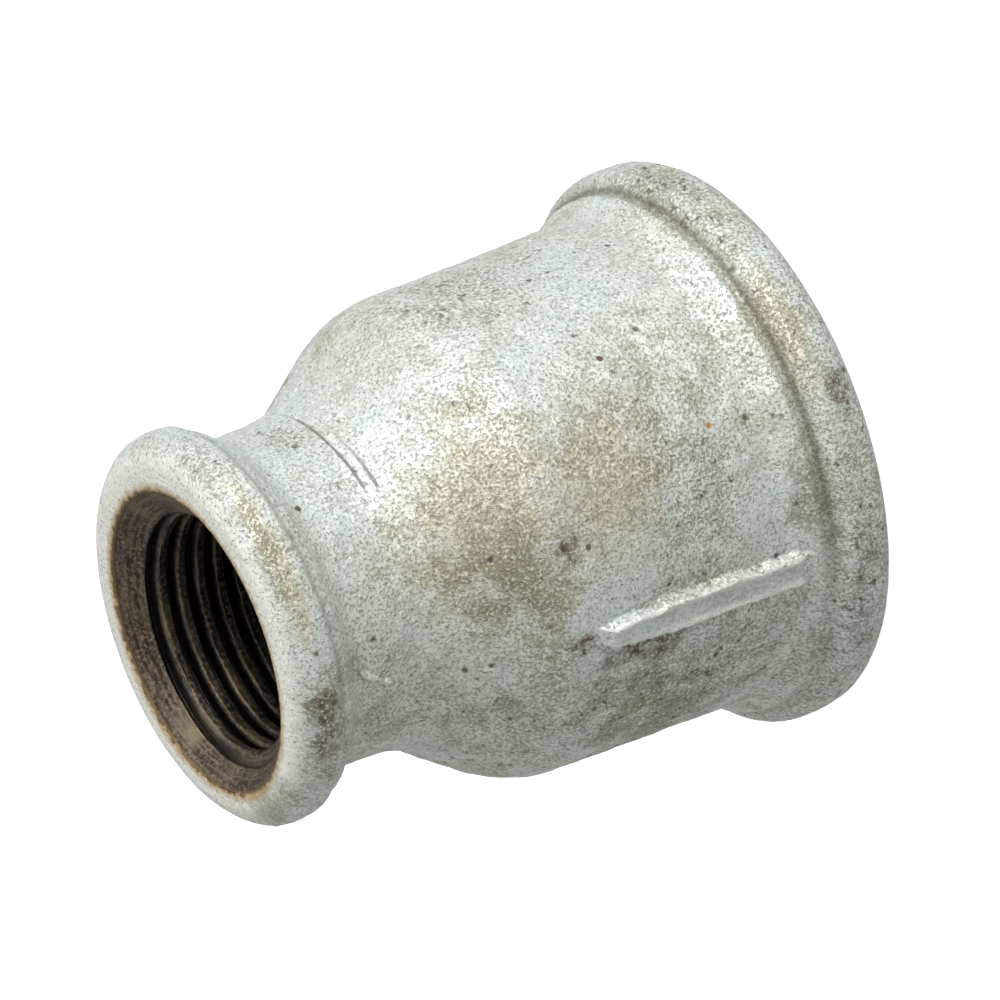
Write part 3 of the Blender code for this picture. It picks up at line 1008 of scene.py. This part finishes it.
class REDUCER_OT_small_bore(bpy.types.Operator):
    """Add the small end's countersink, thread and cored hole, in bare iron"""

    bl_idname = "reducer.small_bore"
    bl_label = "Small tapped bore"

    def execute(self, context):
        scene = context.scene
        casting = scene.reducer_casting
        relief = scene.reducer_relief
        thread = scene.reducer_small_thread
        top = casting.length
        last_groove = top - thread.depth
        slope = (thread.mouth - thread.crests) / thread.countersink
        edge = 0.08 * MM
        core = thread.crests + 0.15 * MM
        hidden = [
            (thread.mouth - edge * slope, top - edge),
            (thread.mouth + 0.2 * MM, top - 0.5 * MM),
            (casting.neck - 1.15 * MM, top - 2 * MM),
            (casting.neck - 1.15 * MM, last_groove - 1.1 * MM),
            (core, last_groove - 1.1 * MM),
        ]
        seen = [
            hidden[-1],
            (core, last_groove - 0.15 * MM),
            (thread.crests, last_groove),
            (thread.crests, top - thread.countersink),
            hidden[0],
        ]
        unseen = stepped(hidden, 1.5 * MM)
        outline = np.concatenate([unseen[:-1], stepped(seen, relief.small_bore_rows)[:-1]])
        finish = tapped_iron(scene.reducer_colours, "small_end", top / MM, (35.5, 31.0))
        start = top + 0.35 * MM
        bore("small_tapped_bore", thread, outline, start, last_groove, top, finish, relief, MOUTH_DRIFT)
        return {"FINISHED"}


class REDUCER_OT_large_bore(bpy.types.Operator):
    """Add the large end's countersink and thread and the cored cone behind it, in bare iron"""

    bl_idname = "reducer.large_bore"
    bl_label = "Large tapped bore"

    def execute(self, context):
        scene = context.scene
        casting = scene.reducer_casting
        relief = scene.reducer_relief
        small = scene.reducer_small_thread
        thread = scene.reducer_large_thread
        slope = (thread.mouth - thread.crests) / thread.countersink
        edge = 0.08 * MM
        core = thread.crests + 0.15 * MM
        small_core = small.crests + 0.18 * MM
        core_top = casting.length - small.depth - 0.6 * MM
        hidden = [
            (small_core, core_top),
            (casting.neck - 1.3 * MM, core_top),
            (casting.body_top - 1.3 * MM, casting.shoulder_foot - 1.6 * MM),
            (casting.body_top - 1.1 * MM, 2.5 * MM),
            (thread.mouth + 0.3 * MM, 0.7 * MM),
            (thread.mouth - edge * slope, edge),
        ]
        seen = rounded([
            (*hidden[-1], 0),
            (thread.crests, thread.countersink, 0),
            (thread.crests, thread.depth, 0),
            (core, thread.depth + 0.15 * MM, 0),
            (core, 19.5 * MM, 3.0 * MM),
            (small_core, 27.2 * MM, 3.0 * MM),
            (*hidden[0], 0),
        ])
        unseen = stepped(hidden, 1.5 * MM)
        outline = np.concatenate([unseen[:-1], stepped(seen, relief.large_bore_rows)[:-1]])
        finish = tapped_iron(scene.reducer_colours, "large_end", 0.0, (8.0, 14.0))
        bore("large_tapped_bore", thread, outline, 0.0, thread.depth, 0.0, finish, relief)
        return {"FINISHED"}


# Stage

CAMERA_PLACE = Vector((0.4095, 0.2649, 0.2613))
CAMERA_TARGET = Vector((0.0005, 0.0016, 0.0171))
BRIGHT_SIDE = (-0.40, 0.82, 0.41)  # the surroundings brighten this way, as beside a large window
CAMERA_UP = Vector((-0.371, 0.872, -0.319))  # the socket lies on its side as the camera sees it
WARM_WHITE = (1, 0.985, 0.945, 1)


def aimed(place, target, up):
    """A matrix for a camera or a light that looks from one place to another."""
    back = (place - target).normalized()
    right = up.cross(back).normalized()
    turned_up = back.cross(right)
    matrix = Matrix((right, turned_up, back)).transposed().to_4x4()
    matrix.translation = place
    return matrix


def around(azimuth, elevation, distance):
    """A place round the object: the azimuth is from +X towards +Y, in degrees."""
    a, e = math.radians(azimuth), math.radians(elevation)
    return distance * Vector((math.cos(a) * math.cos(e), math.sin(a) * math.cos(e), math.sin(e)))


class REDUCER_OT_stage(bpy.types.Operator):
    """Add the camera, the lights and a plain pale floor"""

    bl_idname = "reducer.stage"
    bl_label = "Stage"

    def execute(self, context):
        scene = context.scene
        stage = scene.reducer_stage
        camera = bpy.data.objects.new("camera", bpy.data.cameras.new("camera"))
        camera.data.lens = stage.lens
        camera.data.sensor_width = 36
        camera.data.clip_start = 0.01
        camera.matrix_world = aimed(CAMERA_PLACE, CAMERA_TARGET, CAMERA_UP)
        scene.collection.objects.link(camera)
        scene.camera = camera
        middle = Vector((0, 0, 0.02))
        for name, power, size, place in (
            ("key_light", stage.key_power, 0.3, around(82, 14, 0.55)),
            ("fill_light", stage.fill_power, 0.4, around(150, 60, 0.6)),
        ):
            light = bpy.data.lights.new(name, "AREA")
            light.energy = power
            light.size = size
            lamp = bpy.data.objects.new(name, light)
            lamp.matrix_world = aimed(middle + place, middle, Vector((0, 0, 1)))
            scene.collection.objects.link(lamp)
        world = bpy.data.worlds.new("plain surroundings")
        world.use_nodes = True
        surroundings = world.node_tree
        surroundings.nodes.clear()
        way = add(surroundings, "ShaderNodeTexCoord").outputs["Generated"]
        towards = add(surroundings, VECTOR, {0: way, 1: BRIGHT_SIDE}, operation="DOT_PRODUCT")
        glow = add(
            surroundings, RANGE,
            {0: towards.outputs["Value"], 1: -1.0, 2: 1.0, 3: 0.96 * stage.sky, 4: 1.16 * stage.sky},
        )
        background = add(surroundings, "ShaderNodeBackground", {"Color": WARM_WHITE, "Strength": glow})
        add(surroundings, "ShaderNodeOutputWorld", {"Surface": background})
        scene.world = world
        bpy.ops.mesh.primitive_plane_add(size=6, location=(0, 0, -0.1 * MM))
        floor = context.object
        floor.name = "floor"
        material, tree = new_material("floor_paper")
        shader = add(tree, "ShaderNodeBsdfPrincipled", {
            "Base Color": stage.floor_colour,
            "Roughness": 0.9,
            "Emission Color": (1, 1, 1, 1),
            "Emission Strength": stage.floor_glow,
        })
        add(tree, "ShaderNodeOutputMaterial", {"Surface": shader})
        floor.data.materials.append(material)
        floor.visible_diffuse = False
        floor.visible_glossy = False
        scene.view_settings.view_transform = "Standard"
        return {"FINISHED"}


class REDUCER_PT_parts(bpy.types.Panel):
    """Lists the parts to add, and their sizes and colours"""

    bl_label = "Reducing socket"
    bl_idname = "REDUCER_PT_parts"
    bl_space_type = "VIEW_3D"
    bl_region_type = "UI"
    bl_category = "Reducing socket"

    def draw(self, context):
        for operator in OPERATORS:
            self.layout.operator(operator.bl_idname)
        for name, group in GROUPS.items():
            box = self.layout.box()
            box.label(text=name.replace("_", " "))
            for field in group.__annotations__:
                box.prop(getattr(context.scene, name), field)


OPERATORS = (
    REDUCER_OT_outside,
    REDUCER_OT_zinc_drops,
    REDUCER_OT_small_bore,
    REDUCER_OT_large_bore,
    REDUCER_OT_stage,
)
CLASSES = (*dict.fromkeys(GROUPS.values()), *OPERATORS, REDUCER_PT_parts)


def register():
    for each in CLASSES:
        bpy.utils.register_class(each)
    for name, group in GROUPS.items():
        setattr(bpy.types.Scene, name, PointerProperty(type=group))


def unregister():
    for name in GROUPS:
        delattr(bpy.types.Scene, name)
    for each in reversed(CLASSES):
        bpy.utils.unregister_class(each)


def main():
    register()
    for name, value in LARGE_THREAD.items():
        setattr(bpy.context.scene.reducer_large_thread, name, value)
    bpy.ops.reducer.stage()
    bpy.ops.reducer.outside()
    bpy.ops.reducer.zinc_drops()
    bpy.ops.reducer.small_bore()
    bpy.ops.reducer.large_bore()


if __name__ == "__main__":
    main()
